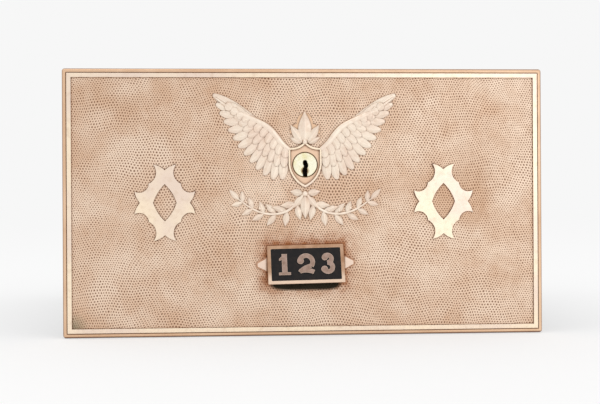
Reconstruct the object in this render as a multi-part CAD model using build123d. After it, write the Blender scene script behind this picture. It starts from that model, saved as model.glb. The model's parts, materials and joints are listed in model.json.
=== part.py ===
from build123d import *
import os

# A post-office lock drawer for a wall: a cast bronze front on a sheet-steel tray, which slides in a sheet-steel
# sleeve. A pin-tumbler lock behind the front throws a bolt up behind a keeper under the sleeve's roof.
#
# Millimetres. X runs to the right as seen from the front, Y into the wall, Z up. The origin is on the wall's
# face, at the middle of the mounting flange. The drawer is shut and unlocked.

# --- Sheet and fits -------------------------------------------------------------------------------------------
sheet = 1.2                 # sleeve and tray
slip_gap = 0.05             # a shank in its hole, or one fixed piece inside another
running_gap = 0.05          # a turning piece in its bore, on the radius
sliding_gap = 0.3           # between faces that slide past each other

# --- Front casting --------------------------------------------------------------------------------------------
front_width = 273.0
front_height = 151.5
front_depth = 9.5           # rim face to the back of the skirt
corner_radius = 1.5
edge_radius = 1.2
land_width = 2.6            # outer land, round the rim
land_drop = 0.4
groove_width = 0.5
groove_depth = 0.5
rim_width = 2.4
field_drop = 1.2
web_thickness = 3.0
skirt_thickness = 3.0
boss_height = 3.0
boss_radius = 5.0
closing_gap = 0.5           # skirt to flange when the drawer is shut

# --- Ornament on the front ------------------------------------------------------------------------------------
lozenge_x = 79.3            # from the middle to each lozenge
lozenge_half_width = 17.0
lozenge_half_height = 21.5
lozenge_tail = 6.4          # half the spread of each fishtail
lozenge_eye_half_width = 6.6
lozenge_eye_half_height = 10.5
shield_border = 1.0
shield_side = 1.1           # border to the hole for the plug, at each side
shield_shoulder_rise = 2.2  # hole up to the shield's shoulders
shield_crest_rise = 5.8
shield_point_drop = 5.7     # hole down to its point
shield_height = 1.5
shield_floor = 0.4
wing_span = 51.5            # middle to a wing's tip
wing_height = 0.5
crest_rise = 16.9           # shield's peak to the top of the palmette

# --- Sleeve and its fittings ----------------------------------------------------------------------------------
flange_thickness = 1.6
flange_overlap = 1.5        # how far the front stands out past the flange
flange_band = 14.5
flange_hole_radius = 2.25
flange_hole_inset = 7.5
sleeve_depth = 300.0
sleeve_corner = 3.0
runner_leg = 12.0
runner_thickness = 1.5
runner_setback = 6.0        # runner's ends inside the sleeve's ends
keeper_thickness = 2.2
keeper_width = 40.0
bolt_head_room = 1.55       # thrown bolt to the sleeve's roof
keeper_reach = 15.8
stop_thickness = 1.6
stop_width = 20.0
stop_reach = 16.0
stop_front = 4.0
rivet_radius = 1.6
rivet_head_radius = 3.0
rivet_head_height = 1.3

# --- Tray -----------------------------------------------------------------------------------------------------
tray_side_gap = 2.3         # tray to sleeve, each side
tray_roof_gap = 14.55       # tray's rim to the sleeve's roof
tray_end_gap = 10.0         # tray's back to the sleeve's back end
tray_corner = 2.4
tray_tab = 14.0             # width of the tabs that screw to the front
back_height = 56.5
hem_height = 6.0
back_flange = 14.0
clip_width = 14.0
clip_setback = 36.0         # tray's back end to the stop clip's rear edge
clip_roof_gap = 1.05
clip_foot = 6.0
screw_radius = 2.0
screw_head_radius = 3.6
screw_head_height = 2.2
screw_slot_width = 0.9
screw_slot_depth = 1.0
thread_depth = 4.4

# --- Lock -----------------------------------------------------------------------------------------------------
plug_radius = 6.35
plug_lip = 0.7              # how far the plug's head stands out past its barrel
plug_stand_out = 0.7        # plug's face in front of the field
plug_chamfer = 0.4
front_hole_gap = 0.25       # plug's head to the hole in the front
head_seat_depth = 3.5       # plug head's shoulder behind the lock's seat
cylinder_wall = 3.65        # cylinder body round the plug
cylinder_length = 20.4
spigot_wall = 1.95          # cylinder's front end round the plug's head
pin_radius = 1.2
pin_count = 5
pin_pitch = 3.3
pin_housing_width = 8.0
pin_housing_cap = 1.0       # spring cover, let into the top of the pin housing
key_pin_lengths = (4.6, 5.4, 4.2, 5.8, 5.0)
driver_length = 4.0
spring_room = 5.05          # chamber above the drivers
spring_wire = 0.3
spring_turns = 5
keyway_width = 2.6
keyway_top = 2.7
keyway_jog = 0.5
key_cup_radius = 2.5
key_cup_drop = 3.5
key_cup_depth = 1.2
ear_reach = 5.0
ear_thickness = 2.5
small_screw_radius = 1.0
small_head_radius = 2.0
small_head_height = 1.2
case_wall = 2.0
case_half_width = 24.0
case_above_axis = 27.8
case_below_axis = 17.0
case_gap = 1.7              # case's top to the keeper's lower edge
case_post_radius = 3.6
case_post_inset = 4.5
cover_thickness = 1.6
cam_lip = 1.65              # how far the cam stands out past the plug's barrel
cam_thickness = 2.0
crank_pin_radius = 1.5
crank_slot_gap = 0.3
bolt_half_width = 11.0
bolt_thickness = 3.0
bolt_head_thickness = 6.0
bolt_head_height = 8.5
bolt_throw = 7.5
bolt_stand_out = 0.5        # bolt's head above the case when drawn back
guide_post_radius = 2.0
guide_post_rise = 16.0

# --- Pull and number plate ------------------------------------------------------------------------------------
pull_from_bottom = 40.75    # front's lower edge up to the pull's middle
pull_skew = 1.2             # degrees: the pull sits a little askew, its right end high
pull_width = 43.5
pull_height = 21.4
pull_top_height = 1.5       # face above the field at its upper edge
pull_lip_height = 9.5       # and at its lower edge
pull_border = 2.0
pull_shell = 2.6
pull_cheek = 1.8
plate_thickness = 1.2
plate_recess = 1.4
ear_reach_out = 6.6         # how far each ear stands out past the hood's side
ear_half_height = 5.0       # against the hood
ear_end_half_height = 1.6
ear_end_radius = 1.5
ear_plate = 2.0
ear_slope = 30.0            # degrees: how far the ears' edges lean in
hood_edge = 0.45
pillar_radius = 3.2
pillar_spacing = 32.0
plate_stud_radius = 1.0
plate_stud_spacing = 16.0
numeral_height = 12.4
numeral_relief = 0.5
numeral_stroke = 2.6
numeral_pitch = 12.2

# --- Sizes and places that follow ------------------------------------------------------------------------------
plug_head_radius = plug_radius + plug_lip
front_hole_radius = plug_head_radius + front_hole_gap
cylinder_radius = plug_radius + cylinder_wall
spigot_radius = plug_head_radius + spigot_wall
cam_radius = plug_radius + cam_lip
pin_chamber_top = plug_radius + 2 * running_gap + driver_length + spring_room
pin_housing_height = pin_chamber_top + pin_housing_cap
shield_half_width = front_hole_radius + shield_side + shield_border
shield_shoulder = front_hole_radius + shield_shoulder_rise
shield_crest = front_hole_radius + shield_crest_rise
shield_point = front_hole_radius + shield_point_drop
keeper_drop = bolt_stand_out + bolt_throw + bolt_head_room - case_gap

flange_face = -flange_thickness
skirt_back = flange_face - closing_gap
rim_face = skirt_back - front_depth
land_face = rim_face + land_drop
field_face = rim_face + field_drop
web_back = field_face + web_thickness
seat_face = web_back + boss_height

flange_width = front_width - 2 * flange_overlap
flange_height = front_height - 2 * flange_overlap
sleeve_width = flange_width - 2 * flange_band
sleeve_height = flange_height - 2 * flange_band
hollow_width = sleeve_width - 2 * sheet
hollow_height = sleeve_height - 2 * sheet
roof = hollow_height / 2
floor = -roof

keeper_edge = roof - keeper_drop
tray_half_width = hollow_width / 2 - tray_side_gap
tray_inner = tray_half_width - sheet
tray_bottom = floor + runner_thickness + sliding_gap
tray_floor = tray_bottom + sheet
tray_rim = roof - tray_roof_gap
tray_end = sleeve_depth - tray_end_gap
tab_back = seat_face + sheet
tab_z_low = tray_floor + 15
tab_z_high = tray_rim - 6
side_screw_x = tray_inner - tray_tab / 2
floor_screw_x = tray_inner / 2
floor_screw_z = tray_floor + tray_tab / 2 - 1
clip_rear = tray_end - clip_setback
clip_front = clip_rear - clip_width

case_top = keeper_edge - case_gap
lock_z = case_top - case_above_axis
case_bottom = lock_z - case_below_axis
case_inner_face = seat_face + case_wall
plug_face = field_face - plug_stand_out
shoulder = seat_face + head_seat_depth
cylinder_back = seat_face + cylinder_length
cam_front = cylinder_back + sliding_gap
cam_back = cam_front + cam_thickness
bolt_front = cam_back + 0.5
bolt_back = bolt_front + bolt_thickness
bolt_head_back = bolt_front + bolt_head_thickness
cover_front = bolt_head_back + 0.5
cover_back = cover_front + cover_thickness
bolt_top = case_top + bolt_stand_out
crank_offset = bolt_throw / 2              # crank pin's two ends, up and down and out from the axis
crank_radius = crank_offset * 2 ** 0.5
keeper_back = bolt_front - 1.0
pull_z = -front_height / 2 + pull_from_bottom
pin_first = shoulder + 2.4
case_screw_x = case_half_width - case_post_inset
case_screw_z = (case_bottom + case_post_inset, case_top - case_post_inset)


# --- Tools ----------------------------------------------------------------------------------------------------
def facing(y):
    """The plane at depth y that a viewer in front looks at: sketch x is X, sketch y is Z."""
    return Plane(origin=(0, y, 0), x_dir=(1, 0, 0), z_dir=(0, -1, 0))


def slab(sketch, front, back):
    """A sketch drawn as seen from the front, made solid from depth front to depth back."""
    return extrude(facing(back) * sketch, amount=back - front, dir=(0, -1, 0))


def rod(radius, front, back, x=0.0, z=0.0):
    return slab(Pos(x, z) * Circle(radius), front, back)


def mirrored(shape):
    """The same piece on the other side of the middle."""
    return mirror(shape, about=Plane.YZ)


def frame(width, height, border, radius=0.0):
    outer = RectangleRounded(width, height, radius) if radius else Rectangle(width, height)
    return outer - Rectangle(width - 2 * border, height - 2 * border)


def slotted_screw(x, z, seat, tip, radius=screw_radius, head_radius=screw_head_radius,
                  head_height=screw_head_height):
    """A cheese-head screw that points forwards, with its head behind the seat."""
    head = rod(head_radius, seat, seat + head_height, x, z)
    head = chamfer(head.edges().group_by(Axis.Y)[-1], head_height / 5)
    slot = slab(Pos(x, z) * Rectangle(3 * head_radius, screw_slot_width),
                seat + head_height - screw_slot_depth * head_height / screw_head_height, seat + head_height)
    return head - slot + rod(radius, tip, seat, x, z)


def rivet(grip):
    """A round-head rivet along Z: its head stands on z = 0 and its shank goes down through the grip."""
    ball = (rivet_head_radius ** 2 + rivet_head_height ** 2) / (2 * rivet_head_height)
    dome = Pos(0, 0, rivet_head_height - ball) * Sphere(ball)
    dome = dome & Pos(0, 0, ball) * Box(4 * ball, 4 * ball, 2 * ball)
    return dome + Pos(0, 0, -grip / 2) * Cylinder(rivet_radius, grip)


def side_rivet(y, z, outside, grip):
    """A rivet through a right-hand wall, with its head on the outside face."""
    return Location((outside, y, z), (0, 90, 0)) * rivet(grip)


def side_hole(y, z, outside, grip):
    bore = Cylinder(rivet_radius + slip_gap, 3 * grip)
    return Location((outside - grip / 2, y, z), (0, 90, 0)) * bore


def both_sides(shapes):
    return [copy for shape in shapes for copy in (shape, mirrored(shape))]


# --- Outlines on the front ------------------------------------------------------------------------------------
def lozenge_outline():
    """A lozenge with hollowed sides, a spur halfway along each and a fishtail at each of its four ends."""
    w, h = lozenge_half_width, lozenge_half_height
    spur = (w * 0.53, h * 0.5)
    tip_top, tip_side = (lozenge_tail, h), (w, lozenge_tail)
    quarter = [
        ThreePointArc((0, h - 3.2), (lozenge_tail * 0.46, h - 1.1), tip_top),
        ThreePointArc(tip_top, (w * 0.3, h * 0.71), spur),
        ThreePointArc(spur, (w * 0.7, h * 0.29), tip_side),
        ThreePointArc(tip_side, (w - 1.1, lozenge_tail * 0.46), (w - 3.0, 0)),
    ]
    half = quarter + [mirror(edge, about=Plane.YZ) for edge in quarter]
    return make_face(half + [mirror(edge, about=Plane.XZ) for edge in half])


def lozenge():
    """The lozenge, with its eye cut out."""
    w, h = lozenge_eye_half_width, lozenge_eye_half_height
    quarter = ThreePointArc((0, h), (w * 0.58, h * 0.56), (w, 0))
    half = [quarter, mirror(quarter, about=Plane.YZ)]
    return lozenge_outline() - make_face(half + [mirror(edge, about=Plane.XZ) for edge in half])


def shield_outline(inset):
    w, shoulder_z = shield_half_width - inset, shield_shoulder - inset
    crest, point = shield_crest - 1.3 * inset, shield_point - 1.4 * inset
    right = [
        ThreePointArc((0, crest), (w * 0.42, shoulder_z + (crest - shoulder_z) * 0.22), (w, shoulder_z)),
        Line((w, shoulder_z), (w, 0)),
        ThreePointArc((w, 0), (w * 0.66, -point * 0.62), (0, -point)),
    ]
    return make_face(right + [mirror(edge, about=Plane.YZ) for edge in right])


def wing_outline():
    """The right wing as a plain pad, from the shield out to its tip. Coordinates are from the lock's axis."""
    s = wing_span
    leading = Spline((s * 0.16, 10.0), (s * 0.27, 12.6), (s * 0.34, 18.0), (s * 0.5, 24.5), (s * 0.72, 29.8),
                     (s * 0.97, 38.6))
    trailing = Spline((s * 0.97, 38.6), (s * 0.86, 26.5), (s * 0.72, 14.5), (s * 0.51, 2.0), (s * 0.3, -5.0),
                      (s * 0.17, -2.5))
    return make_face([leading, trailing, Line((s * 0.17, -2.5), (s * 0.16, 10.0))])


def crest_outline():
    """A palmette of three pointed leaves above the shield."""
    foot, top = shield_crest - 2.0, shield_crest + crest_rise
    side_tip, notch = (8.6, foot + 6.6), (4.6, foot + 12.2)
    right = [
        Line((0, foot), (3.5, foot)),
        ThreePointArc((3.5, foot), (3.6, foot + 3.4), side_tip),
        ThreePointArc(side_tip, (7.6, foot + 10.4), notch),
        ThreePointArc(notch, (3.4, foot + 16.4), (0, top)),
    ]
    return make_face(right + [mirror(edge, about=Plane.YZ) for edge in right])


# --- Front casting --------------------------------------------------------------------------------------------
def front_casting():
    body = slab(RectangleRounded(front_width, front_height, corner_radius), land_face, skirt_back)
    body = fillet(body.edges().group_by(Axis.Y)[0], edge_radius)
    rim_outer_w, rim_outer_h = front_width - 2 * land_width, front_height - 2 * land_width
    rim_ring = frame(rim_outer_w, rim_outer_h, rim_width)
    body += slab(rim_ring, rim_face, land_face)
    field = Rectangle(rim_outer_w - 2 * rim_width, rim_outer_h - 2 * rim_width)
    body -= slab(field, rim_face - 1, field_face)
    groove = frame(rim_outer_w + 2 * groove_width, rim_outer_h + 2 * groove_width, groove_width)
    body -= slab(groove, rim_face - 1, land_face + groove_depth)
    pan = Rectangle(front_width - 2 * skirt_thickness, front_height - 2 * skirt_thickness)
    body -= slab(pan, web_back, skirt_back + 1)

    for x in (-lozenge_x, lozenge_x):
        body += slab(Pos(x, 0) * lozenge(), rim_face, field_face)
    body += slab(Pos(0, lock_z) * shield_outline(0), field_face - shield_height, field_face)
    body -= slab(Pos(0, lock_z) * shield_outline(shield_border), field_face - 2 * shield_height,
                 field_face - shield_floor)
    wing = slab(Pos(0, lock_z) * wing_outline(), field_face - wing_height, field_face)
    body += wing + mirrored(wing)
    body += slab(Pos(0, lock_z) * crest_outline(), field_face - wing_height, field_face)

    pad = Pos(0, (case_top + case_bottom) / 2) * RectangleRounded(2 * case_half_width + 2,
                                                                 case_top - case_bottom + 2, 3)
    body += slab(pad, web_back, seat_face)
    for x, z in tray_screw_places():
        body += rod(boss_radius, web_back, seat_face, x, z)
        body -= rod(screw_radius + slip_gap, seat_face - thread_depth - 0.4, seat_face, x, z)
    for x, z in case_screw_places():
        body -= rod(screw_radius + slip_gap, seat_face - thread_depth - 0.4, seat_face, x, z)
    body -= rod(front_hole_radius, rim_face - 5, seat_face + 1, 0, lock_z)
    for x, z in pull_screw_places():
        body -= rod(screw_radius + slip_gap, rim_face - 1, web_back, x, z)
    return body


def tray_screw_places():
    sides = [(x, z) for x in (-side_screw_x, side_screw_x) for z in (tab_z_low + 10, tab_z_high - 10)]
    return sides + [(x, floor_screw_z) for x in (-floor_screw_x, floor_screw_x)]


def case_screw_places():
    return [(x, z) for x in (-case_screw_x, case_screw_x) for z in case_screw_z]


def pull_screw_places():
    """The pull's two screws, which turn with it."""
    places = [(pull_place() * Pos(x, 0, 0)).position for x in (-pillar_spacing / 2, pillar_spacing / 2)]
    return [(place.X, place.Z) for place in places]


# --- Pull and number plate, made about the pull's middle on the field and then put in place --------------------
def pull_place():
    return Location((0, field_face, pull_z), (0, -pull_skew, 0))


def hood_side(inwards=0.0, lower=0.0):
    """The hood's side profile in Y and Z: upright against the field, its face leaning out towards the bottom.
    Inwards moves the face towards the field, and lower carries the profile on below the hood."""
    half = pull_height / 2
    slope = (pull_lip_height - pull_top_height) / pull_height
    top, low = pull_top_height - inwards, pull_lip_height - inwards + slope * lower
    if top > 0:
        upper = [(0, half), (-top, half)]
    else:
        upper = [(0, half + top / slope)]
    return upper + [(-low, -half - lower), (0, -half - lower)]


def across(points, width):
    """A side profile made solid across X, about the middle."""
    profile = Plane.YZ * Polygon(*points, align=None)
    return extrude(profile, amount=width / 2, both=True)


def face_plane():
    """The plane of the hood's sloping face, with its origin at the middle of the face."""
    low, high = Vector(0, -pull_lip_height, -pull_height / 2), Vector(0, -pull_top_height, pull_height / 2)
    up = (high - low).normalized()
    return Plane(origin=(low + high) / 2, x_dir=(1, 0, 0), z_dir=Vector(1, 0, 0).cross(up))


def window_size():
    slant = ((pull_lip_height - pull_top_height) ** 2 + pull_height ** 2) ** 0.5
    return pull_width - 2 * pull_border, slant - 2 * pull_border


def ears_outline():
    """Both ears and the strip that joins them behind the hood. Each narrows to a rounded end."""
    root, end = pull_width / 2, pull_width / 2 + ear_reach_out
    right = [(root, ear_half_height), (end, ear_end_half_height), (end, -ear_end_half_height),
             (root, -ear_half_height)]
    left = [(-x, -z) for x, z in right]
    outline = Polygon(*right, *left, align=None)
    ends = outline.vertices().filter_by(lambda corner: abs(corner.X) > root + ear_reach_out / 2)
    return fillet(ends, ear_end_radius)


def pull_hood():
    hood = across(hood_side(), pull_width)
    hood = fillet(hood.edges().filter_by_position(Axis.Y, -2 * pull_lip_height, -hood_edge), hood_edge)
    hood -= across(hood_side(pull_shell, lower=5.0), pull_width - 2 * pull_cheek)
    hood += extrude(facing(0) * ears_outline(), amount=ear_plate, dir=(0, -1, 0), taper=ear_slope)
    inside = across(hood_side(pull_shell / 2), pull_width)
    for x in (-pillar_spacing / 2, pillar_spacing / 2):
        hood += rod(pillar_radius, -pull_lip_height, 0, x) & inside
    slope = face_plane()
    width, height = window_size()
    hood -= extrude(slope * RectangleRounded(width, height, 0.6), amount=plate_recess, dir=-slope.z_dir)
    for x in (-plate_stud_spacing / 2, plate_stud_spacing / 2):
        hood -= slope * Pos(x, 0, -pull_shell) * Cylinder(plate_stud_radius + slip_gap, 4 * pull_shell)
    depth = pull_shell_depth_at_middle() - plate_recess - 0.6
    for x in (-pillar_spacing / 2, pillar_spacing / 2):
        hood -= rod(screw_radius + slip_gap, -depth, 1, x)
    return pull_place() * hood


def pull_shell_depth_at_middle():
    return (pull_top_height + pull_lip_height) / 2


def stroke(line, width):
    return trace(line, line_width=width)


def numeral_one(h, w):
    foot = Pos(0, w * 0.3) * Rectangle(w * 2.6, w * 0.6)
    stem = Pos(0, h / 2) * Rectangle(w * 1.15, h)
    flag = make_face(Polyline((0, h), (-w * 1.15, h * 0.78), (-w * 1.15, h * 0.68), (0, h * 0.76), close=True))
    return foot + stem + flag


def numeral_two(h, w):
    r = h * 0.3
    bowl = CenterArc((0, h - r - w / 2), r, 165, -205)
    start, end = bowl @ 0, bowl @ 1
    neck = ThreePointArc(end, (0.15 * r, h * 0.36), (-r, w * 0.55))
    foot = ThreePointArc((-r, w * 0.75), (-r * 0.1, w * 0.95), (r * 1.15, w * 0.5))
    ball = Pos(start.X + w * 0.18, start.Y - w * 0.1) * Circle(w * 0.72)
    return stroke(bowl, w) + stroke(neck, w * 0.9) + stroke(foot, w) + ball


def numeral_three(h, w):
    upper_r, lower_r = (h - w) * 0.225, (h - w) * 0.275
    upper = CenterArc((0, h - upper_r - w / 2), upper_r, 150, -245)
    lower = CenterArc((0, lower_r + w / 2), lower_r, 95, -245)
    balls = [Pos((upper @ 0).X + w * 0.15, (upper @ 0).Y - w * 0.1) * Circle(w * 0.66),
             Pos((lower @ 1).X + w * 0.15, (lower @ 1).Y + w * 0.1) * Circle(w * 0.72)]
    return stroke(upper, w) + stroke(lower, w) + balls[0] + balls[1]


def number_plate():
    slope = face_plane()
    width, height = window_size()
    back = slope.offset(-plate_recess)
    outline = RectangleRounded(width - 2 * slip_gap, height - 2 * slip_gap, 0.6)
    plate = extrude(back * outline, amount=plate_thickness, dir=slope.z_dir)
    digits = (numeral_one, numeral_two, numeral_three)
    for place, digit in enumerate(digits, start=-1):
        outline = Pos(place * numeral_pitch, -numeral_height / 2) * digit(numeral_height, numeral_stroke)
        plate += extrude(back.offset(plate_thickness) * outline, amount=numeral_relief, dir=slope.z_dir)
    for x in (-plate_stud_spacing / 2, plate_stud_spacing / 2):
        plate += extrude(back * Pos(x, 0) * Circle(plate_stud_radius), amount=(pull_shell - plate_recess) * 0.9,
                         dir=-slope.z_dir)
    return pull_place() * plate


def pull_screws():
    tip = field_face - pull_shell_depth_at_middle() + plate_recess + 1.4
    return [slotted_screw(x, z, web_back, tip) for x, z in pull_screw_places()]


# --- Lock -----------------------------------------------------------------------------------------------------
def lock_case():
    width, height = 2 * case_half_width, case_top - case_bottom
    middle = Pos(0, (case_top + case_bottom) / 2)
    case = slab(middle * RectangleRounded(width, height, 3), seat_face, cover_front)
    inside = middle * RectangleRounded(width - 2 * case_wall, height - 2 * case_wall, 1.2)
    case -= slab(inside, case_inner_face, cover_front)
    for x, z in case_screw_places():
        case += rod(case_post_radius, case_inner_face, cover_front, x, z)
        case -= rod(screw_radius + slip_gap, seat_face, cover_front, x, z)
    case -= rod(spigot_radius + slip_gap, seat_face, case_inner_face, 0, lock_z)
    gap = sliding_gap
    mouth = Pos(0, case_top - case_wall / 2) * Rectangle(2 * bolt_half_width + 2 * gap, 2 * case_wall)
    case -= slab(mouth, bolt_front - gap, bolt_head_back + gap)
    for x in cylinder_screw_x():
        case -= rod(small_screw_radius + slip_gap, seat_face, case_inner_face, x, lock_z)
    return case


def cylinder_screw_x():
    return (-cylinder_radius - ear_reach / 2, cylinder_radius + ear_reach / 2)


def lock_cover():
    middle = Pos(0, (case_top + case_bottom) / 2)
    cover = slab(middle * RectangleRounded(2 * case_half_width, case_top - case_bottom, 3),
                 cover_front, cover_back)
    cover = chamfer(cover.edges().group_by(Axis.Y)[-1], 0.4)
    for x, z in case_screw_places():
        cover -= rod(screw_radius + slip_gap, cover_front, cover_back, x, z)
    return cover - rod(guide_post_radius * 0.8 + slip_gap, cover_front, cover_back, 0, lock_z + guide_post_rise)


def guide_post():
    """The stud that keeps the bolt upright, riveted into the cover."""
    z = lock_z + guide_post_rise
    return (rod(guide_post_radius, bolt_front - 0.3, cover_front, 0, z)
            + rod(guide_post_radius * 0.8, cover_front, cover_back, 0, z))


def pin_places():
    return [pin_first + i * pin_pitch for i in range(pin_count)]


def upright(radius, low, high, y):
    """An upright rod through the lock, with heights from the lock's axis."""
    return Pos(0, y, lock_z + (low + high) / 2) * Cylinder(radius, high - low)


def cylinder_body():
    body = rod(cylinder_radius, case_inner_face, cylinder_back, 0, lock_z)
    body += rod(spigot_radius, seat_face, case_inner_face, 0, lock_z)
    housing = Pos(0, lock_z + pin_housing_height / 2) * Rectangle(pin_housing_width, pin_housing_height)
    body += slab(housing, case_inner_face, cylinder_back)
    ears = Pos(0, lock_z) * Rectangle(2 * (cylinder_radius + ear_reach), 6.0)
    body += slab(ears, case_inner_face, case_inner_face + ear_thickness)
    body -= rod(plug_head_radius + running_gap, seat_face - 1, shoulder + running_gap, 0, lock_z)
    body -= rod(plug_radius + running_gap, seat_face, cylinder_back + 1, 0, lock_z)
    for x in cylinder_screw_x():
        body -= rod(small_screw_radius + slip_gap, case_inner_face, case_inner_face + ear_thickness, x, lock_z)
    for y in pin_places():
        body -= upright(pin_radius + running_gap, plug_radius - 1, pin_housing_height + 1, y)
    channel = Pos(0, (pin_places()[0] + pin_places()[-1]) / 2, lock_z + pin_housing_height)
    length = (pin_count - 1) * pin_pitch + 4 * pin_radius
    return body - channel * Box(4 * pin_radius, length, 2 * pin_housing_cap)


def spring_cover():
    """The strip that closes the pin chambers."""
    middle = (pin_places()[0] + pin_places()[-1]) / 2
    length = (pin_count - 1) * pin_pitch + 4 * pin_radius - 2 * slip_gap
    place = Pos(0, middle, lock_z + pin_chamber_top + pin_housing_cap / 2)
    return place * Box(4 * pin_radius - 2 * slip_gap, length, pin_housing_cap)


def plug():
    body = rod(plug_head_radius, plug_face, shoulder, 0, lock_z)
    body = chamfer(body.edges().group_by(Axis.Y)[0], plug_chamfer)
    body += rod(plug_radius, shoulder, cylinder_back + 0.1, 0, lock_z)
    low = -plug_head_radius - 1
    w, j = keyway_width / 2, keyway_jog
    keyway = make_face(Polyline((-w, low), (w, low), (w, -2.0), (w + j, -1.0), (w + j, 0.4), (w, 1.2),
                                (w, keyway_top - w), (-w, keyway_top - w), (-w, 0.4), (-w + j, -0.4),
                                (-w + j, -1.6), (-w, -2.4), close=True))
    keyway += Pos(0, keyway_top - w) * Circle(w)
    body -= slab(Pos(0, lock_z) * keyway, plug_face, cylinder_back - 1.5)
    cup = Pos(0, plug_face, lock_z - key_cup_drop) * Rot(90, 0, 0) * Cone(
        key_cup_radius * 0.5, key_cup_radius, key_cup_depth, align=(Align.CENTER, Align.CENTER, Align.MAX))
    body -= cup
    deepest = key_pin_top() - max(key_pin_lengths) - running_gap
    for y in pin_places():
        body -= upright(pin_radius + running_gap, deepest, plug_radius + 1, y)
    for x, z in cam_screw_places():
        body -= rod(small_screw_radius + slip_gap, cylinder_back - 4.5, cylinder_back + 1, x, z)
    return body


def key_pin_top():
    """The height above the lock's axis to which the key lifts each lower pin's top."""
    return (plug_radius ** 2 - pin_radius ** 2) ** 0.5 - running_gap


def key_pins():
    """The lower pins, at the heights that the key holds them to, with their tops at the shear line."""
    top = key_pin_top()
    lengths = [key_pin_lengths[i % len(key_pin_lengths)] for i in range(pin_count)]
    return [chamfer(upright(pin_radius, top - length, top, y).edges(), 0.25)
            for length, y in zip(lengths, pin_places())]


def driver_pins():
    low = plug_radius + 2 * running_gap
    return [chamfer(upright(pin_radius, low, low + driver_length, y).edges(), 0.15) for y in pin_places()]


def pin_springs():
    low = plug_radius + 2 * running_gap + driver_length + spring_wire
    high = pin_chamber_top - spring_wire
    coil = pin_radius - spring_wire
    springs = []
    for y in pin_places():
        path = Helix(pitch=(high - low) / spring_turns, height=high - low, radius=coil)
        start = Plane(origin=path @ 0, z_dir=path % 0)
        springs.append(Pos(0, y, lock_z + low) * sweep(start * Circle(spring_wire / 2), path=path))
    return springs


def cam_screw_places():
    """Two screws on the diameter square to the crank."""
    reach = plug_radius * 0.6
    diagonal = reach / 2 ** 0.5
    return [(diagonal, lock_z - diagonal), (-diagonal, lock_z + diagonal)]


def cam():
    """The disc on the plug's back, with the crank pin that drives the bolt."""
    disc = rod(cam_radius, cam_front, cam_back, 0, lock_z)
    disc += rod(plug_radius * 0.8, cylinder_back + 0.1, cam_front, 0, lock_z)
    disc += rod(crank_pin_radius, cam_back, bolt_back, -crank_offset, lock_z - crank_offset)
    for x, z in cam_screw_places():
        disc -= rod(small_screw_radius + slip_gap, cylinder_back, cam_back, x, z)
        disc -= rod(small_head_radius + slip_gap, cam_back - small_head_height, cam_back, x, z)
    return disc


def cam_screws():
    seat = cam_back - small_head_height
    return [slotted_screw(x, z, seat, cylinder_back - 3.5, small_screw_radius, small_head_radius,
                          small_head_height) for x, z in cam_screw_places()]


def cylinder_screws():
    return [slotted_screw(x, lock_z, case_inner_face + ear_thickness, seat_face + 0.3, small_screw_radius,
                          small_head_radius, small_head_height) for x in cylinder_screw_x()]


def bolt():
    head_low = bolt_top - bolt_head_height
    low = lock_z - plug_radius - 3.0
    body = slab(Pos(0, (low + head_low) / 2) * Rectangle(2 * bolt_half_width, head_low - low),
                bolt_front, bolt_back)
    head = slab(Pos(0, (head_low + bolt_top) / 2) * Rectangle(2 * bolt_half_width, bolt_head_height),
                bolt_front, bolt_head_back)
    body += chamfer(head.edges().group_by(Axis.Z)[-1], 0.5)
    near, far = crank_offset - crank_pin_radius - 0.4, crank_radius + crank_pin_radius + 0.4
    crank_slot = Pos(-(near + far) / 2, lock_z - crank_offset) * Rectangle(
        far - near, 2 * (crank_pin_radius + crank_slot_gap))
    half = guide_post_radius + sliding_gap
    slot_top, slot_low = guide_post_rise + half, guide_post_rise - bolt_throw - half
    guide_slot = Pos(0, lock_z + (slot_top + slot_low) / 2) * Rectangle(2 * half, slot_top - slot_low)
    return body - slab(crank_slot, bolt_front, bolt_back) - slab(guide_slot, bolt_front, bolt_head_back)


def lock_screws():
    return [slotted_screw(x, z, cover_back, seat_face - thread_depth) for x, z in case_screw_places()]


# --- Tray -----------------------------------------------------------------------------------------------------
def u_section(half_width, low, high, wall, radius):
    """A sheet folded into a U, as seen from the front."""
    def block(half, bottom, corner):
        shape = Pos(0, (bottom + high) / 2) * Rectangle(2 * half, high - bottom)
        return fillet(shape.vertices().group_by(Axis.Y)[0], corner)
    return block(half_width, low, radius) - block(half_width - wall, low + wall, radius - wall)


def tray_shell():
    body = slab(u_section(tray_half_width, tray_bottom, tray_rim, sheet, tray_corner), seat_face, tray_end)
    hem = Pos(tray_half_width + sheet / 2, tray_rim - hem_height / 2) * Rectangle(sheet, hem_height)
    hem = slab(hem, seat_face + 2, tray_end)
    tab = Pos(tray_inner - tray_tab / 2, (tab_z_low + tab_z_high) / 2) * Rectangle(tray_tab,
                                                                                 tab_z_high - tab_z_low)
    tab = slab(tab, seat_face, tab_back)
    floor_tab = Pos(0, tray_floor + tray_tab / 2) * Rectangle(2 * floor_screw_x + 2 * tray_tab, tray_tab)
    body += [hem, mirrored(hem), tab, mirrored(tab), slab(floor_tab, seat_face, tab_back)]
    for x, z in tray_screw_places():
        body -= rod(screw_radius + slip_gap, seat_face, tab_back, x, z)
    for y, z in back_rivet_places() + clip_rivet_places():
        hole = side_hole(y, z, tray_half_width, sheet)
        body -= hole
        body -= mirrored(hole)
    for x in (-floor_screw_x, floor_screw_x):
        body -= Pos(x, back_rivet_y(), tray_floor) * Cylinder(rivet_radius + slip_gap, 4 * sheet)
    return body


def back_rivet_y():
    return tray_end - back_flange / 2 - sheet


def back_rivet_places():
    return [(back_rivet_y(), tray_floor + back_height * share) for share in (0.36, 0.76)]


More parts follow.
